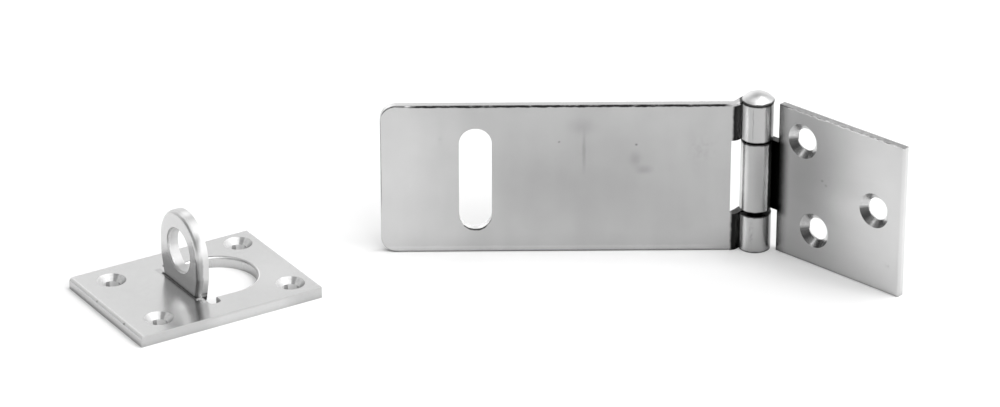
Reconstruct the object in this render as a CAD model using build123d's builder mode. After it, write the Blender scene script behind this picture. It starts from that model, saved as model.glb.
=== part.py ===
from build123d import *
from math import cos, radians, sin
import os

# A stainless hasp and its staple, in millimetres.
# +Z is up; the hasp stands on its long edge, the staple lies flat, and both rest on z = 0.
# The origin is the middle of the footprint. The viewer is on the -Y side.
os.makedirs("parts", exist_ok=True)

# Hinge
hasp_height = 40.0
sheet = 2.0
pin_bore = 4.0
pin_clearance = 0.05
lower_knuckle = 9.95
upper_knuckle = 9.9
gap_below_leaf_knuckle = 1.15
gap_above_leaf_knuckle = 0.4
hinge_angle = 136.4
roll_slack = 0.35
roll_lip_angle = 15.0
leaf_roll_lip_angle = 22.0
edge_chamfer = 0.3

# Pin head
head_diameter = 8.2
head_rim = 0.25
head_dome = 2.05
head_seat = 0.15

# Staple: one pressed plate with its lug folded up
staple_length = 50.0
staple_width = 37.5
staple_sheet = 2.9
staple_turn = 31.5
staple_from_hinge = 138.9
staple_toward_viewer = 24.2
staple_edge_round = 1.1
staple_hole = 4.4
staple_sink = 7.3
end_hole_inset = 8.3
end_hole_spacing = 24.4
far_hole_inset = 5.4
far_hole_spacing = 26.2
far_hole_shift = 0.45
lug_from_end = 20.8
lug_width = 20.0
lug_neck = 17.4
lug_neck_height = 5.3
lug_height = 19.8
lug_shift = 0.25
lug_bend = 0.3
eye_diameter = 11.0
eye_height = 9.75
lug_edge_round = 1.3
eye_edge_round = 0.5
blank_side_clearance = 0.05
blank_end_inset = 8.4
blank_shift = 0.5
blank_edge_round = 0.6
relief_behind_front = 1.7
relief_past_lug = 2.0
relief_past_neck = 4.15
relief_corner = 1.2

# Strap: flat, slotted for the lug, cranked forward so that it closes over the staple plate
strap_reach = 93.5
strap_set = 2.1
strap_corner = 4.0
strap_edge_round = 0.4
slot_edge_break = 0.15
slot_from_hinge = 69.9
slot_side_clearance = 2.65
slot_end_clearance = 3.75
notch_from_hinge = 6.5
crank_angle = 50.0
crank_inner_bend = 0.4

# Leaf: screwed down through three countersunk holes
leaf_reach = 44.0
leaf_from_hinge = 5.2
leaf_edge_break = 0.25
leaf_hole = 5.8
leaf_sink = 9.0
leaf_hole_line = 20.8
upper_hole_rise = 11.5
lower_hole_drop = 11.5
upper_hole_along = 12.9
lower_hole_along = 17.3
outer_hole_along = 35.7

# Worked out from the sizes above
knuckle_radius = pin_bore / 2 + sheet
roll_radius = pin_bore / 2 + sheet / 2
back_radius = roll_radius + roll_slack
leaf_knuckle_bottom = lower_knuckle + gap_below_leaf_knuckle
leaf_knuckle_top = hasp_height - upper_knuckle - gap_above_leaf_knuckle
leaf_turn = hinge_angle - 180
leaf_back = knuckle_radius
slot_width = staple_sheet + 2 * slot_side_clearance
slot_height = lug_width + 2 * slot_end_clearance
mid_height = hasp_height / 2

# Footprint, measured from the hinge axis, so that the origin is in its middle
turn = radians(staple_turn)
lean = radians(-leaf_turn)
staple_span_x = staple_length / 2 * cos(turn) + staple_width / 2 * sin(turn)
staple_span_y = staple_length / 2 * sin(turn) + staple_width / 2 * cos(turn)
left_side = -staple_from_hinge - staple_span_x
right_side = leaf_reach * cos(lean) + leaf_back * sin(lean)
near_side = -staple_toward_viewer - staple_span_y
far_side = max(head_diameter / 2, back_radius + sheet / 2)
hinge_x = -(left_side + right_side) / 2
hinge_y = -(near_side + far_side) / 2

hinge = Plane(origin=(hinge_x, hinge_y, 0))
strap_front = Plane((hinge_x, hinge_y - strap_set, 0), x_dir=(1, 0, 0), z_dir=(0, -1, 0))
leaf_frame = hinge.rotated((0, 0, leaf_turn))
leaf_front = Plane(
    leaf_frame.from_local_coords((0, leaf_back - sheet, 0)),
    x_dir=leaf_frame.x_dir,
    z_dir=-leaf_frame.y_dir,
)
staple_frame = Plane(
    origin=(hinge_x - staple_from_hinge, hinge_y - staple_toward_viewer, 0)
).rotated((0, 0, staple_turn))

# Strap: one sheet, with its crank and the upper and lower knuckles
strap_middle = strap_set - sheet / 2
crank = radians(crank_angle)
slope_offset = back_radius + roll_slack * sin(crank)
crank_x = -(slope_offset + strap_middle * cos(crank)) / sin(crank)
slope_end = (-roll_slack - back_radius * sin(crank), back_radius * cos(crank))
flat_end = -notch_from_hinge

with BuildPart() as hasp_strap:
    with BuildSketch(strap_front):
        with Locations(((flat_end - strap_reach) / 2, mid_height)):
            Rectangle(strap_reach + flat_end, hasp_height)
        fillet(vertices().group_by(Axis.X)[0], strap_corner)
    extrude(amount=-sheet)
    near_face = hasp_strap.faces().filter_by(Axis.Y).sort_by(Axis.Y)[0]
    fillet(near_face.edges().sort_by(Axis.X)[:-1], strap_edge_round)
    with BuildSketch(strap_front):
        with Locations((-slot_from_hinge, mid_height)):
            SlotOverall(slot_height, slot_width, rotation=90)
    extrude(amount=-sheet, mode=Mode.SUBTRACT)
    near_face = hasp_strap.faces().filter_by(Axis.Y).sort_by(Axis.Y)[0]
    fillet(near_face.inner_wires()[0].edges(), slot_edge_break)

    with BuildSketch(hinge):
        with BuildLine():
            Polyline((flat_end, -strap_middle), (crank_x, -strap_middle), slope_end)
            fillet(vertices().sort_by(Axis.X)[1], crank_inner_bend + sheet / 2)
            CenterArc((-roll_slack, 0), back_radius, 90 + crank_angle, -90 - crank_angle)
            CenterArc((0, 0), roll_radius, 0, roll_lip_angle - 180)
        trace(line_width=sheet)
    extrude(amount=hasp_height)
    with BuildSketch(hinge.offset(lower_knuckle)):
        with Locations((flat_end / 2 + knuckle_radius, 0)):
            Rectangle(2 * knuckle_radius - flat_end, 4 * knuckle_radius)
    extrude(amount=hasp_height - lower_knuckle - upper_knuckle, mode=Mode.SUBTRACT)
hasp_strap.part.label = "hasp_strap"
export_step(hasp_strap.part, "parts/hasp_strap.step")

# Leaf: one sheet, rolled into the middle knuckle
leaf_holes = [
    (upper_hole_along, leaf_hole_line + upper_hole_rise),
    (lower_hole_along, leaf_hole_line - lower_hole_drop),
    (outer_hole_along, leaf_hole_line),
]

with BuildPart() as hinge_leaf:
    with BuildSketch(leaf_front):
        with Locations(((leaf_from_hinge + leaf_reach) / 2, mid_height)):
            Rectangle(leaf_reach - leaf_from_hinge, hasp_height)
    extrude(amount=-sheet)
    front_face = hinge_leaf.faces().sort_by(Axis(leaf_front.origin, leaf_front.z_dir))[-1]
    fillet(front_face.edges(), leaf_edge_break)
    with BuildSketch(leaf_frame.offset(leaf_knuckle_bottom)):
        with BuildLine():
            Line((leaf_from_hinge + sheet, roll_radius), (0, roll_radius))
            CenterArc((0, 0), roll_radius, 90, 270 + leaf_roll_lip_angle)
        trace(line_width=sheet)
    extrude(amount=leaf_knuckle_top - leaf_knuckle_bottom)
    with Locations(leaf_front):
        with Locations(*leaf_holes):
            CounterSinkHole(leaf_hole / 2, leaf_sink / 2, counter_sink_angle=90)
hinge_leaf.part.label = "hinge_leaf"
export_step(hinge_leaf.part, "parts/hinge_leaf.step")

# Pin: upset head on top, plain end below
head_bottom = hasp_height + head_seat
head_edge = head_bottom + head_rim
head_top = head_edge + head_dome
pin_radius = pin_bore / 2 - pin_clearance
dome_radius = (head_diameter**2 / 4 + head_dome**2) / (2 * head_dome)

with BuildPart() as hinge_pin:
    with BuildSketch(hinge):
        Circle(pin_radius)
    extrude(amount=head_bottom)
    chamfer(hinge_pin.edges().sort_by(Axis.Z)[0], edge_chamfer)
    with BuildSketch(Plane(hinge.origin, x_dir=(1, 0, 0), z_dir=(0, -1, 0))):
        with BuildLine():
            Polyline(
                (0, head_top),
                (0, head_bottom),
                (head_diameter / 2, head_bottom),
                (head_diameter / 2, head_edge),
            )
            RadiusArc((head_diameter / 2, head_edge), (0, head_top), -dome_radius)
        make_face()
    revolve(axis=Axis(hinge.origin, (0, 0, 1)))
hinge_pin.part.label = "hinge_pin"
export_step(hinge_pin.part, "parts/hinge_pin.step")

# Staple plate: the lug first, then the plate, its openings and the bend between them
end_hole_x = end_hole_inset - staple_length / 2
far_hole_x = staple_length / 2 - far_hole_inset
staple_holes = [
    (end_hole_x, -end_hole_spacing / 2),
    (end_hole_x, end_hole_spacing / 2),
    (far_hole_x, far_hole_shift - far_hole_spacing / 2),
    (far_hole_x, far_hole_shift + far_hole_spacing / 2),
]
lug_front_x = lug_from_end - staple_length / 2
lug_arch = lug_height - lug_width / 2
bend_z = staple_sheet + lug_bend
blank_width = lug_width + 2 * blank_side_clearance
blank_end_x = staple_length / 2 - blank_end_inset
blank_round_x = blank_end_x - blank_width / 2
blank_y = lug_shift + blank_shift
relief_x = lug_front_x + relief_behind_front
relief_end_x = lug_front_x + staple_sheet + relief_past_lug
relief_width = lug_neck + 2 * relief_past_neck

lug_foot = Plane(
    staple_frame.from_local_coords((lug_front_x, lug_shift, 0)),
    x_dir=staple_frame.x_dir,
    z_dir=staple_frame.z_dir,
)
lug_front = Plane(
    lug_foot.from_local_coords((0, 0, staple_sheet)),
    x_dir=-lug_foot.y_dir,
    z_dir=-lug_foot.x_dir,
)
bend_side = Plane(lug_foot.origin, x_dir=lug_foot.x_dir, z_dir=-lug_foot.y_dir)
along_plate = Axis(staple_frame.origin, staple_frame.x_dir)

with BuildPart() as staple_plate:
    with BuildSketch(lug_front):
        with BuildLine():
            arch = RadiusArc((-lug_width / 2, lug_arch), (lug_width / 2, lug_arch), lug_width / 2)
            Polyline(
                arch @ 1,
                (lug_width / 2, lug_neck_height),
                (lug_neck / 2, lug_bend),
                (-lug_neck / 2, lug_bend),
                (-lug_width / 2, lug_neck_height),
                arch @ 0,
            )
        make_face()
    extrude(amount=-staple_sheet)
    lug_face = faces().sort_by(Axis(lug_front.origin, lug_front.z_dir))[-1]
    fillet(lug_face.edges().sort_by(Axis.Z)[1:], lug_edge_round)
    with BuildSketch(lug_front):
        with Locations((0, eye_height)):
            Circle(eye_diameter / 2)
    extrude(amount=-staple_sheet, mode=Mode.SUBTRACT)
    lug_face = faces().sort_by(Axis(lug_front.origin, lug_front.z_dir))[-1]
    fillet(lug_face.inner_wires()[0].edges(), eye_edge_round)

    with BuildSketch(staple_frame):
        Rectangle(staple_length, staple_width)
    extrude(amount=staple_sheet)
    top_edges = edges(Select.LAST).group_by(Axis.Z)[-1]
    fillet(top_edges.sort_by(along_plate)[0], staple_edge_round)
    with BuildSketch(staple_frame):
        with Locations(((relief_x + blank_round_x) / 2, blank_y)):
            Rectangle(blank_round_x - relief_x, blank_width)
        with Locations((blank_round_x, blank_y)):
            Circle(blank_width / 2)
        with Locations(((relief_x + relief_end_x) / 2, lug_shift)):
            RectangleRounded(relief_end_x - relief_x, relief_width, relief_corner)
    extrude(amount=staple_sheet, mode=Mode.SUBTRACT)
    opening_edges = edges(Select.LAST).group_by(Axis.Z)[-1]
    fillet(opening_edges.sort_by(along_plate)[-3:], blank_edge_round)
    with BuildSketch(lug_foot):
        with Locations(((relief_behind_front - lug_bend) / 2, 0)):
            Rectangle(relief_behind_front + lug_bend, lug_neck)
    extrude(amount=staple_sheet, mode=Mode.SUBTRACT)
    with Locations(staple_frame.offset(staple_sheet)):
        with Locations(*staple_holes):
            CounterSinkHole(staple_hole / 2, staple_sink / 2, counter_sink_angle=90)
    with BuildSketch(bend_side):
        with BuildLine():
            inside = CenterArc((-lug_bend, bend_z), lug_bend, -90, 90)
            outside = CenterArc((-lug_bend, bend_z), bend_z, -90, 90)
            Line(inside @ 0, outside @ 0)
            Line(inside @ 1, outside @ 1)
        make_face()
    extrude(amount=lug_neck / 2, both=True)
staple_plate.part.label = "staple_plate"
export_step(staple_plate.part, "parts/staple_plate.step")
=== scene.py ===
import bpy
from math import cos, pi, radians, sin
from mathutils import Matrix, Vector

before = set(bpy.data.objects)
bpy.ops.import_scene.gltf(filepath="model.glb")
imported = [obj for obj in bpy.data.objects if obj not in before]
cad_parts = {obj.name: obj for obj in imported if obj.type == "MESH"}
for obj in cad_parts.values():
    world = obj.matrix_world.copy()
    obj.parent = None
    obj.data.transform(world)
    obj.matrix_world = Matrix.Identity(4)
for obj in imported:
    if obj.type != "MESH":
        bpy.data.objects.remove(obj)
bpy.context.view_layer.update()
scene = bpy.context.scene
print("frame loaded:", ", ".join(sorted(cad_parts)))


# Shader maths: sums done on a Socket add Math nodes, and a Graph makes every node.
class Socket:
    def __init__(self, graph, output):
        self.graph = graph
        self.output = output

    def __add__(self, other):
        return self.graph.math("ADD", self, other)

    def __sub__(self, other):
        return self.graph.math("SUBTRACT", self, other)

    def __rsub__(self, other):
        return self.graph.math("SUBTRACT", other, self)

    def __mul__(self, other):
        return self.graph.math("MULTIPLY", self, other)

    def __truediv__(self, other):
        return self.graph.math("DIVIDE", self, other)

    def __abs__(self):
        return self.graph.math("ABSOLUTE", self)

    __radd__ = __add__
    __rmul__ = __mul__


class Graph:
    def __init__(self, tree):
        self.tree = tree
        tree.nodes.clear()

    def node(self, kind, sockets=None, output=0, **settings):
        made = self.tree.nodes.new(kind)
        for name, value in settings.items():
            setattr(made, name, value)
        for name, value in (sockets or {}).items():
            if isinstance(value, Socket):
                self.tree.links.new(value.output, made.inputs[name])
            else:
                made.inputs[name].default_value = value
        if len(made.outputs):
            return Socket(self, made.outputs[output])

    def math(self, operation, *values):
        return self.node("ShaderNodeMath", dict(enumerate(values)), operation=operation)

    def vectorMath(self, operation, *values, output=0):
        return self.node("ShaderNodeVectorMath", dict(enumerate(values)), output, operation=operation)

    def split(self, vector):
        parts = self.node("ShaderNodeSeparateXYZ", {0: vector}).output.node
        return [Socket(self, output) for output in parts.outputs]

    def smooth(self, value, low, high):  # 0 at low, 1 at high, eased between
        sockets = {0: value, 1: low, 2: high, 3: 0.0, 4: 1.0}
        return self.node("ShaderNodeMapRange", sockets, interpolation_type="SMOOTHSTEP")

    def noise(self, at, scale, detail=2.0, output=0):
        return self.node("ShaderNodeTexNoise", {"Vector": at, "Scale": scale, "Detail": detail}, output)

    def ramp(self, value, stops):
        shades = self.node("ShaderNodeValToRGB", {"Fac": value})
        elements = shades.output.node.color_ramp.elements
        while len(elements) < len(stops):
            elements.new(1.0)
        for element, (place, level) in zip(elements, stops):
            element.position = place
            element.color = (level, level, level, 1.0)
        return shades

    def scaled(self, vector, factors):
        return self.node("ShaderNodeMapping", {"Vector": vector, "Scale": factors})

    def placed(self, at, place, turn, size=(1.0, 1.0, 1.0)):  # a point as seen from a turned place
        sockets = {"Vector": at, "Location": place, "Rotation": turn, "Scale": size}
        return self.node("ShaderNodeMapping", sockets, vector_type="TEXTURE")

    def spot(self, at, place, size, turn, soft):  # 1 inside an ellipsoid, 0 at its skin
        inside = self.placed(at, place, turn, size)
        return self.smooth(self.vectorMath("LENGTH", inside, output="Value"), 1.0, soft)

    def block(self, at, place, half, turn, fade):  # 1 inside a box, fading to 0 at its faces
        mask = 1.0
        for part, reach, edge in zip(self.split(self.placed(at, place, turn)), half, fade):
            mask = self.smooth(abs(part), reach, reach - edge) * mask
        return mask

    def surface(self, sockets):
        shader = self.node("ShaderNodeBsdfPrincipled", sockets)
        self.node("ShaderNodeOutputMaterial", {"Surface": shader})


def newMaterial(name):
    material = bpy.data.materials.new(name)
    material.use_nodes = True
    return material, Graph(material.node_tree)


# Camera, where the photograph was taken from
camera = {
    "place": (-0.010026, -0.977460, 0.491399),
    "tilt": 64.446,
    "turn": -0.798,
    "lens": 160.24,
    "sensor": 36.0,
    "clip": (0.05, 20.0),
}


def addCamera(settings):
    bpy.ops.object.select_all(action="DESELECT")
    turned = (radians(settings["tilt"]), 0.0, radians(settings["turn"]))
    bpy.ops.object.camera_add(location=settings["place"], rotation=turned)
    view = bpy.context.object
    view.name = "camera"
    view.data.lens = settings["lens"]
    view.data.sensor_fit = "HORIZONTAL"
    view.data.sensor_width = settings["sensor"]
    view.data.clip_start, view.data.clip_end = settings["clip"]
    scene.camera = view


addCamera(camera)
print("camera placed")

# Studio: a pale floor under soft lights in front, to the right and behind, and a room that glows low down
studio = {"floorSize": 6.0, "floorTone": (0.9, 0.9, 0.9, 1.0), "floorRoughness": 0.9, "distance": 1.5}
softboxes = [  # azimuth 0 is the camera's side, 90 the right, 180 the back
    {"name": "overhead", "azimuth": 0.0, "height": 90.0, "size": 0.8, "power": 1.5},
    {"name": "front", "azimuth": 0.0, "height": 62.0, "size": 0.7, "power": 5.0},
    {"name": "frontRight", "azimuth": 45.0, "height": 45.0, "size": 1.2, "power": 3.6},
    {"name": "right", "azimuth": 90.0, "height": 65.0, "size": 0.7, "power": 8.3},
    {"name": "backLeft", "azimuth": 225.0, "height": 45.0, "size": 1.2, "power": 1.1},
    {"name": "left", "azimuth": 270.0, "height": 65.0, "size": 0.7, "power": 2.0},
]
glows = [
    {"azimuth": 45.0, "height": 12.0, "spread": 50.0, "strength": 1.91},
    {"azimuth": 90.0, "height": 12.0, "spread": 50.0, "strength": 1.22},
    {"azimuth": 135.0, "height": 12.0, "spread": 50.0, "strength": 0.36},
    {"azimuth": 180.0, "height": 12.0, "spread": 50.0, "strength": 1.08},
    {"azimuth": 225.0, "height": 12.0, "spread": 50.0, "strength": 0.67},
    {"azimuth": 290.0, "height": 12.0, "spread": 60.0, "strength": 0.25},
    {"azimuth": 345.0, "height": 10.0, "spread": 50.0, "strength": 0.25},
]


def direction(azimuth, height):
    flat = cos(radians(height))
    return Vector((sin(radians(azimuth)) * flat, -cos(radians(azimuth)) * flat, sin(radians(height))))


def addSoftbox(settings, distance):
    toward = direction(settings["azimuth"], settings["height"])
    bpy.ops.object.light_add(type="AREA", location=toward * distance)
    light = bpy.context.object
    light.name = settings["name"]
    light.rotation_euler = (-toward).to_track_quat("-Z", "Y").to_euler()
    light.data.shape = "SQUARE"
    light.data.size = settings["size"]
    light.data.energy = settings["power"]


def addRoom(glows):
    room = bpy.data.worlds.new("room")
    room.use_nodes = True
    scene.world = room
    graph = Graph(room.node_tree)
    toward = graph.node("ShaderNodeTexCoord", output="Generated")
    light = 0.0
    for glow in glows:  # full strength inside a quarter of the spread, nothing outside it
        middle = direction(glow["azimuth"], glow["height"])
        near = graph.vectorMath("DOT_PRODUCT", toward, middle, output="Value")
        rim, core = cos(radians(glow["spread"])), cos(radians(glow["spread"] / 4))
        light = graph.smooth(near, rim, core) * glow["strength"] + light
    background = graph.node("ShaderNodeBackground", {"Color": light, "Strength": 1.0})
    graph.node("ShaderNodeOutputWorld", {"Surface": background})


def addFloor(settings):
    bpy.ops.object.select_all(action="DESELECT")
    bpy.ops.mesh.primitive_plane_add(size=settings["floorSize"], location=(0.0, 0.0, 0.0))
    floor = bpy.context.object
    floor.name = "floor"
    paper, graph = newMaterial("paper")
    graph.surface({"Base Color": settings["floorTone"], "Roughness": settings["floorRoughness"]})
    floor.data.materials.append(paper)


for box in softboxes:
    addSoftbox(box, studio["distance"])
addRoom(glows)
addFloor(studio)
scene.view_settings.view_transform = "Standard"
scene.view_settings.look = "None"
print("studio lit")


# Satin stainless steel. Lengths are in millimetres here. A mark is an ellipsoid and a band is a box, turned
# with its piece, and their gain darkens or brightens the steel inside them; most of them are painted light
# and shade, a few are real scratches, smudges, dots and nicks.
millimetres = 1000.0


def mark(place, size, gain, soft=0.0, **more):
    return {"place": place, "size": size, "gain": gain, "soft": soft, **more}


def band(place, half, fade, gain, **more):
    return {"place": place, "half": half, "fade": fade, "gain": gain, **more}


def patchMask(graph, at, patch, settings):
    if "half" in patch:
        turn = (0.0, 0.0, radians(patch.get("turn", settings["turn"])))
        mask = graph.block(at, patch["place"], patch["half"], turn, patch["fade"])
    else:
        mask = graph.spot(at, patch["place"], patch["size"], (0.0, 0.0, 0.0), patch["soft"])
    if "broken" in patch:  # the scale of the noise that breaks it up
        gaps = graph.noise(at, patch["broken"], settings["detail"])
        mask = mask * graph.smooth(gaps, *settings["brokenLimits"])
    return mask


def shakenPlace(graph, at, settings):  # the place, shaken a little, for uneven edges
    wobble = settings["wobble"]
    shake = graph.noise(at, settings["wobbleScale"], settings["detail"], "Color")
    shake = graph.vectorMath("MULTIPLY_ADD", shake, (wobble,) * 3, (-wobble / 2,) * 3)
    return graph.vectorMath("ADD", at, shake)


def squareNormal(graph, settings):  # the normal along the piece's own directions
    facing = graph.node("ShaderNodeTexCoord", output="Normal")
    turn = (0.0, 0.0, radians(-settings["turn"]))
    return graph.split(graph.node("ShaderNodeMapping", {"Vector": facing, "Rotation": turn}))


def makeSteel(name, settings):
    material, graph = newMaterial(name)
    at = graph.scaled(graph.node("ShaderNodeTexCoord", output="Object"), (millimetres,) * 3)
    shaken = shakenPlace(graph, at, settings)
    across, along, upward = squareNormal(graph, settings)
    flatness = graph.math("MAXIMUM", graph.math("MAXIMUM", abs(across), abs(along)), abs(upward))
    curved = graph.smooth(flatness, *settings["curvedLimits"])

    cloud = graph.noise(at, settings["cloudScale"], settings["detail"]) - 0.5
    streak = graph.noise(graph.scaled(at, settings["streakStretch"]), 1.0) - 0.5
    fine = graph.noise(at, settings["fineScale"]) - 0.5
    tone = 1.0 + cloud * settings["cloudDepth"] + streak * settings["streakDepth"]
    # painted light: top faces made lighter or darker by how light falls on them
    tone = (tone + fine * settings["fineDepth"]) * (1.0 + upward * settings["paintedTopLight"])
    rough = settings["roughness"] + cloud * settings["roughnessDepth"] + streak * settings["streakRoughness"]
    rough = rough + curved * (settings["curvedRoughness"] - settings["roughness"])
    matte = 0.0
    for patch in settings["patches"]:
        mask = patchMask(graph, shaken, patch, settings)
        tone = tone * (1.0 + mask * patch["gain"])
        if "matte" in patch:
            matte = mask * patch["matte"] + matte
        if "rough" in patch:
            rough = rough + mask * patch["rough"]
    tone = tone * (1.0 + curved * settings["curvedGain"])

    shadeLift = 0.0
    if "sinks" in settings:  # turned surfaces, with a painted reflection whose lightness changes all the way round, and painted light on the bore walls
        if settings["upright"]:
            axis, side, turn = along, upward, (pi / 2, 0.0, radians(settings["turn"]))
        else:
            axis, side, turn = upward, along, (0.0, 0.0, 0.0)
        sinks = 0.0
        for place in settings["sinks"]:
            sinks = graph.spot(at, place, settings["sinkSize"], turn, settings["sinkSoft"]) + sinks
        sinks = sinks * graph.smooth(flatness, *settings["sinkLimits"])
        bores = sinks * graph.smooth(abs(axis), *settings["boreLimits"])
        angle = graph.math("ARCTAN2", side, across) / (2 * pi) + 0.5
        turned = graph.ramp(angle, settings["sinkReflectionStops"])
        turned = turned * settings["sinkReflectionGain"] * (1.0 + fine * settings["sinkGrain"])
        turned = turned + bores * (settings["boreLight"] - turned)
        tone = tone + sinks * (turned - tone)
        rough = rough + sinks * (settings["sinkRoughness"] - settings["curvedRoughness"])
        matte = matte + sinks * settings["sinkMatte"] + bores * settings["boreMatte"]
        shadeLift = bores * settings["boreShadeLift"]

    # painted shade: the steel is darkened where nearby surfaces hem it in, in crevices, gaps and against the
    # floor, less so on the bore walls
    reach = {"Distance": settings["paintedShadeReach"] / millimetres}
    clear = graph.node("ShaderNodeAmbientOcclusion", reach, "AO", samples=settings["paintedShadeSamples"])
    paintedShade = graph.smooth(clear, *settings["paintedShadeLimits"])
    tone = tone * (1.0 - paintedShade * settings["paintedShadeDark"] * (1.0 - shadeLift))
    height = settings["bumpHeight"] / millimetres
    bump = {"Strength": settings["bumpStrength"], "Distance": height, "Height": streak + fine}
    graph.surface({
        "Base Color": tone * settings["tone"],
        "Metallic": 1.0 - matte,
        "Roughness": rough,
        "Normal": graph.node("ShaderNodeBump", bump),
    })
    return material


satin = {  # each pair of limits runs from none of the effect to all of it
    "turn": 0.0,  # the piece's own, about the vertical
    "detail": 3.0,
    "roughness": 0.22,
    "curvedRoughness": 0.24,
    "roughnessDepth": 0.06,
    "paintedTopLight": 0.0,
    "curvedGain": 0.0,
    "curvedLimits": (0.99, 0.85),
    "cloudScale": 0.09,
    "cloudDepth": 0.1,
    "streakStretch": (0.9, 0.9, 0.03),
    "streakDepth": 0.06,
    "streakRoughness": 0.05,
    "fineScale": 1.6,
    "fineDepth": 0.04,
    "bumpStrength": 0.5,
    "bumpHeight": 0.02,
    "wobble": 0.5,  # how far the edges of the patches wander
    "wobbleScale": 0.7,
    "brokenLimits": (0.38, 0.68),
    "paintedShadeReach": 4.0,
    "paintedShadeSamples": 8,
    "paintedShadeLimits": (0.7, 0.15),
    "paintedShadeDark": 0.9,
    "upright": True,  # the holes run level
    "sinkSoft": 0.97,
    "sinkLimits": (0.99, 0.95),
    "sinkMatte": 0.0,
    "sinkGrain": 0.5,
    "boreLimits": (0.4, 0.2),
    "boreLight": 1.4,
    "boreMatte": 0.4,
    "boreShadeLift": 0.0,
}
strapSteel = {
    **satin,
    "tone": 0.44,
    "cloudScale": 0.12,
    "cloudDepth": 0.17,
    "streakStretch": (0.25, 0.25, 0.03),
    "streakDepth": 0.1,
    "paintedTopLight": 0.12,
    "patches": [
        # painted reflection: pale left end, darker middle
        mark((-30.0, 22.3, 20.0), (38.0, 6.0, 60.0), 0.34),
        mark((28.0, 22.3, 20.0), (40.0, 2.0, 22.0), -0.12),
        mark((12.0, 22.3, 21.0), (11.0, 2.0, 14.0), -0.05),
        # painted dark reflection: a black line along the top front edge, broken near the corner and at the
        # crank
        band((21.0, 22.35, 39.9), (40.5, 0.38, 0.58), (2.5, 0.3, 0.3), -0.96),
        band((-22.0, 22.35, 39.9), (3.0, 0.4, 0.4), (1.0, 0.3, 0.3), -0.7),
        # painted light in a pale line above the bottom edge, and a darker strip down the left edge
        band((15.0, 22.35, 1.1), (46.0, 0.5, 0.8), (8.0, 0.3, 0.6), 0.16),
        band((15.0, 22.35, 0.0), (46.0, 0.6, 0.4), (4.0, 0.3, 0.25), 0.05),
        mark((-27.0, 22.35, 11.0), (0.35, 0.5, 8.0), -0.3),
        # slot: painted dark reflection on its lower lip, painted light on its wall
        mark((-2.2, 22.35, 9.6), (3.95, 0.4, 3.9), -0.85, soft=0.94),
        band((-2.2, 23.7, 8.0), (4.4, 1.1, 3.0), (0.2, 0.3, 1.5), 0.5, matte=0.4),
        # painted shade in the deep crevice before the knuckles
        band((62.55, 23.7, 19.5), (1.45, 1.9, 20.2), (0.8, 0.5, 0.4), -0.97),
        # knuckles: painted light on the left, painted shade on the right with a painted highlight line, and
        # painted shade as black rings at the gaps
        mark((64.0, 22.5, 35.0), (2.1, 2.4, 12.0), 1.15, soft=0.4, matte=0.7),
        mark((64.3, 22.4, 5.0), (2.4, 2.4, 12.0), 0.7, soft=0.4, matte=0.3),
        mark((71.3, 22.2, 5.0), (2.6, 2.6, 10.0), -0.5),
        band((67.7, 24.45, 30.0), (5.0, 5.0, 0.45), (0.1, 0.1, 0.35), -0.95),
        band((67.7, 24.45, 9.95), (5.0, 5.0, 0.5), (0.1, 0.1, 0.3), -0.9),
        band((67.7, 24.45, 39.95), (4.6, 5.0, 0.4), (0.1, 0.1, 0.3), -0.9),
        band((67.7, 24.45, 0.1), (5.0, 5.0, 0.4), (0.1, 0.1, 0.3), -0.7),
        band((70.3, 21.4, 35.0), (0.25, 0.6, 5.0), (0.2, 0.3, 2.0), 0.9),
        mark((71.2, 22.6, 35.0), (0.9, 1.3, 9.0), -0.52),
        band((66.35, 20.6, 35.0), (0.14, 0.5, 5.0), (0.12, 0.2, 2.0), -0.4),
        mark((66.5, 20.6, 5.5), (0.9, 0.6, 4.5), -0.4, broken=1.6),
        # scratch, smudges and dots on the front
        mark((24.7, 22.3, 27.5), (0.8, 0.8, 8.2), -0.2),
        mark((24.4, 22.3, 34.2), (5.6, 0.8, 3.6), -0.12),
        mark((37.4, 22.3, 25.2), (2.2, 0.8, 3.2), -0.16),
        mark((39.6, 22.3, 22.4), (3.2, 0.8, 1.8), -0.18),
        mark((37.6, 22.3, 29.2), (0.5, 0.6, 0.5), -0.6),
        mark((18.5, 22.3, 30.1), (0.45, 0.6, 0.4), -0.5),
        mark((-10.9, 22.3, 31.0), (1.2, 0.8, 2.6), -0.16, broken=1.6),
        mark((53.5, 22.3, 28.0), (6.0, 0.8, 5.0), -0.1, broken=0.9),
    ],
}
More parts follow.
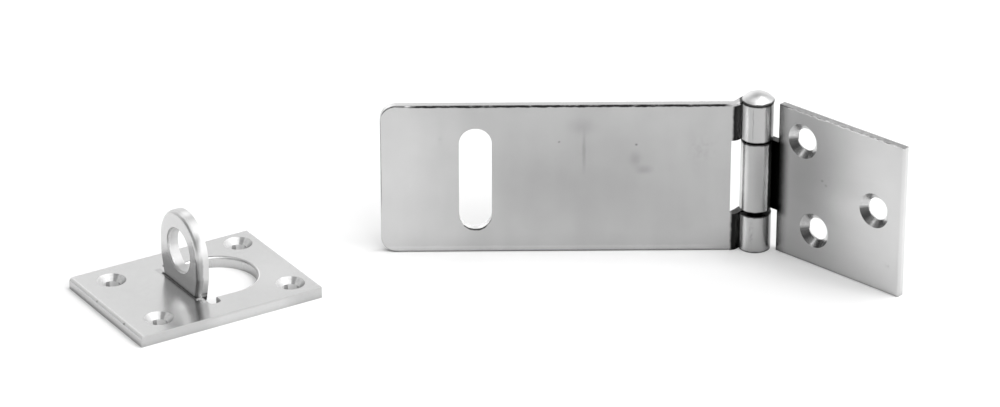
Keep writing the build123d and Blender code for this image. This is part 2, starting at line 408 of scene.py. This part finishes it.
leafSteel = {
    **satin,
    "tone": 0.45,
    "turn": -43.6,
    "paintedTopLight": -0.1,
    "cloudScale": 0.06,
    "cloudDepth": 0.2,
    "streakStretch": (0.05, 0.05, 0.5),
    "sinks": [(79.80, 18.45, 32.3), (82.98, 15.42, 9.3), (96.31, 2.73, 20.8)],
    "sinkSize": (4.6, 4.6, 100.0),
    "sinkReflectionGain": 2.4,
    "sinkRoughness": 0.24,
    "sinkReflectionStops": [  # painted reflection: lightness by the way the countersink faces
        (0.0, 0.3), (0.25, 0.3), (0.32, 0.6), (0.5, 0.5), (0.53, 0.1),
        (0.66, 0.15), (0.7, 0.6), (0.8, 0.1), (0.87, 0.9), (1.0, 0.3),
    ],
    "patches": [
        # painted reflection: pale free end, darker toward the hinge
        mark((100.0, -2.0, 20.0), (26.0, 26.0, 60.0), 0.42),
        mark((79.0, 16.5, 24.0), (20.0, 20.0, 34.0), -0.42),
        mark((88.0, 8.0, 19.0), (14.0, 14.0, 6.0), 0.1),
        # painted shade on the top edge toward the free end, with a painted highlight along its front;
        # painted light on the end
        mark((101.0, -2.5, 40.0), (26.0, 26.0, 0.4), -0.45),
        band((88.0, 8.5, 40.0), (19.5, 1.3, 0.3), (0.5, 0.2, 0.1), -0.25, broken=0.7),
        band((88.1, 7.8, 39.86), (18.6, 0.26, 0.14), (0.4, 0.15, 0.06), 1.6, matte=0.4),
        band((102.4, -2.9, 20.0), (0.5, 1.3, 21.0), (0.3, 0.3, 0.5), 0.13),
        # dots and a smudge
        mark((83.1, 12.6, 23.6), (0.6, 0.6, 0.35), -0.45),
        mark((84.0, 11.7, 22.7), (0.5, 0.5, 0.4), -0.45),
        mark((101.7, -5.1, 15.2), (0.4, 0.4, 0.5), -0.4),
        mark((98.5, -2.0, 7.4), (1.6, 1.6, 0.8), -0.2, broken=1.6),
        # painted shade in the crevice beside the knuckle, and the painted shade that leads into it
        band((72.3, 22.8, 20.35), (4.9, 2.5, 11.2), (4.0, 0.5, 2.2), -0.97),
        band((72.6, 22.6, 20.0), (4.5, 0.7, 30.0), (4.4, 0.3, 1.0), -0.52),
        # knuckle: painted light on its sides, painted shade in its middle, and painted shade as black rings
        # at the gaps
        mark((64.2, 22.3, 20.0), (2.2, 2.4, 20.0), 1.4, matte=0.3),
        mark((70.9, 21.7, 20.0), (2.1, 1.9, 20.0), 1.7, matte=0.8),
        mark((68.3, 20.4, 20.0), (2.6, 2.0, 20.0), -0.2),
        band((67.7, 24.45, 29.7), (4.6, 5.0, 0.55), (0.3, 0.1, 0.35), -0.9, turn=0.0),
        band((67.7, 24.45, 11.0), (4.6, 5.0, 0.4), (0.3, 0.1, 0.3), -0.9, turn=0.0),
    ],
}
pinSteel = {
    **satin,
    "tone": 0.68,
    "roughness": 0.42,
    "curvedRoughness": 0.42,
    "patches": [
        # painted shade on the shaft seen through the gaps, and a painted shadow line under the head
        mark((67.7, 24.45, 20.0), (3.0, 3.0, 20.0), -0.9, soft=0.95),
        band((67.7, 24.45, 40.0), (5.0, 5.0, 0.7), (0.1, 0.1, 0.25), -0.9),
    ],
}
stapleSteel = {
    **satin,
    "tone": 0.53,
    "turn": 31.5,
    "roughness": 0.215,
    "curvedRoughness": 0.36,
    "curvedGain": 0.12,
    "fineDepth": 0.08,
    "streakStretch": (0.3, 0.3, 0.3),
    "upright": False,
    "sinks": [(-79.07, -18.88, 2.9), (-91.82, 1.93, 2.9), (-47.88, -0.30, 2.9), (-61.57, 22.04, 2.9)],
    "sinkSize": (3.7, 3.7, 100.0),
    "sinkRoughness": 0.5,
    "sinkMatte": 0.5,
    "sinkReflectionGain": 1.5,
    # painted reflection: lightness by the way each countersink faces
    "sinkReflectionStops": [
        (0.0, 0.8), (0.08, 0.8), (0.1, 0.4), (0.14, 0.4), (0.16, 0.8), (0.4, 0.8), (0.9, 0.3), (1.0, 0.8),
    ],
    "boreShadeLift": 0.6,
    "patches": [
        # painted shade in the crease at the foot of the lug; painted light on the right side and front
        band((-75.04, -1.81, 3.1), (0.34, 8.9, 0.45), (0.2, 0.5, 0.3), -0.8),
        band((-57.0, -13.1, 1.2), (14.0, 0.5, 1.4), (6.0, 0.2, 0.3), 0.18),
        mark((-52.0, 6.0, 2.9), (16.0, 16.0, 2.0), 0.08),
        mark((-73.4, -12.5, 2.9), (3.5, 3.5, 2.0), 0.16),
        # rolled end of the plate: a painted highlight along its top, painted shade along its foot, and its
        # nicks
        band((-92.26, -12.66, 2.85), (0.7, 19.0, 0.7), (0.3, 0.5, 0.4), 0.16),
        band((-92.26, -12.66, 0.3), (0.9, 19.0, 0.9), (0.3, 0.5, 0.8), -0.2),
        mark((-94.65, -8.9, 2.45), (0.6, 0.5, 0.4), -0.7),
        mark((-87.3, -20.9, 2.4), (0.7, 0.6, 0.4), -0.7),
        # the lug: matte rim, painted light above, painted shade at the foot and down its right side
        band((-73.17, -0.66, 14.2), (1.75, 11.5, 10.2), (0.4, 0.5, 0.5), 0.05, matte=0.35, rough=0.25),
        band((-75.0, -1.8, 17.0), (1.0, 11.5, 7.5), (0.3, 0.5, 3.0), 0.18),
        band((-69.26, -9.82, 9.0), (0.9, 1.7, 6.5), (0.3, 1.2, 3.0), -0.4),
        mark((-72.7, -1.9, 22.7), (2.4, 2.4, 1.2), 0.5, matte=0.3),
        mark((-69.9, -8.1, 17.6), (1.3, 2.2, 5.5), -0.5),
        mark((-75.7, 4.0, 14.1), (2.0, 2.0, 3.0), 0.2),
        band((-75.0, -1.8, 5.0), (1.0, 11.5, 4.0), (0.3, 0.5, 3.0), -0.2),
    ],
}
finishes = {
    "hasp_strap": strapSteel,
    "hinge_leaf": leafSteel,
    "hinge_pin": pinSteel,
    "staple_plate": stapleSteel,
}
for node, settings in finishes.items():
    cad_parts[node].material_slots[0].material = makeSteel(node + "_steel", settings)
print("steel applied")
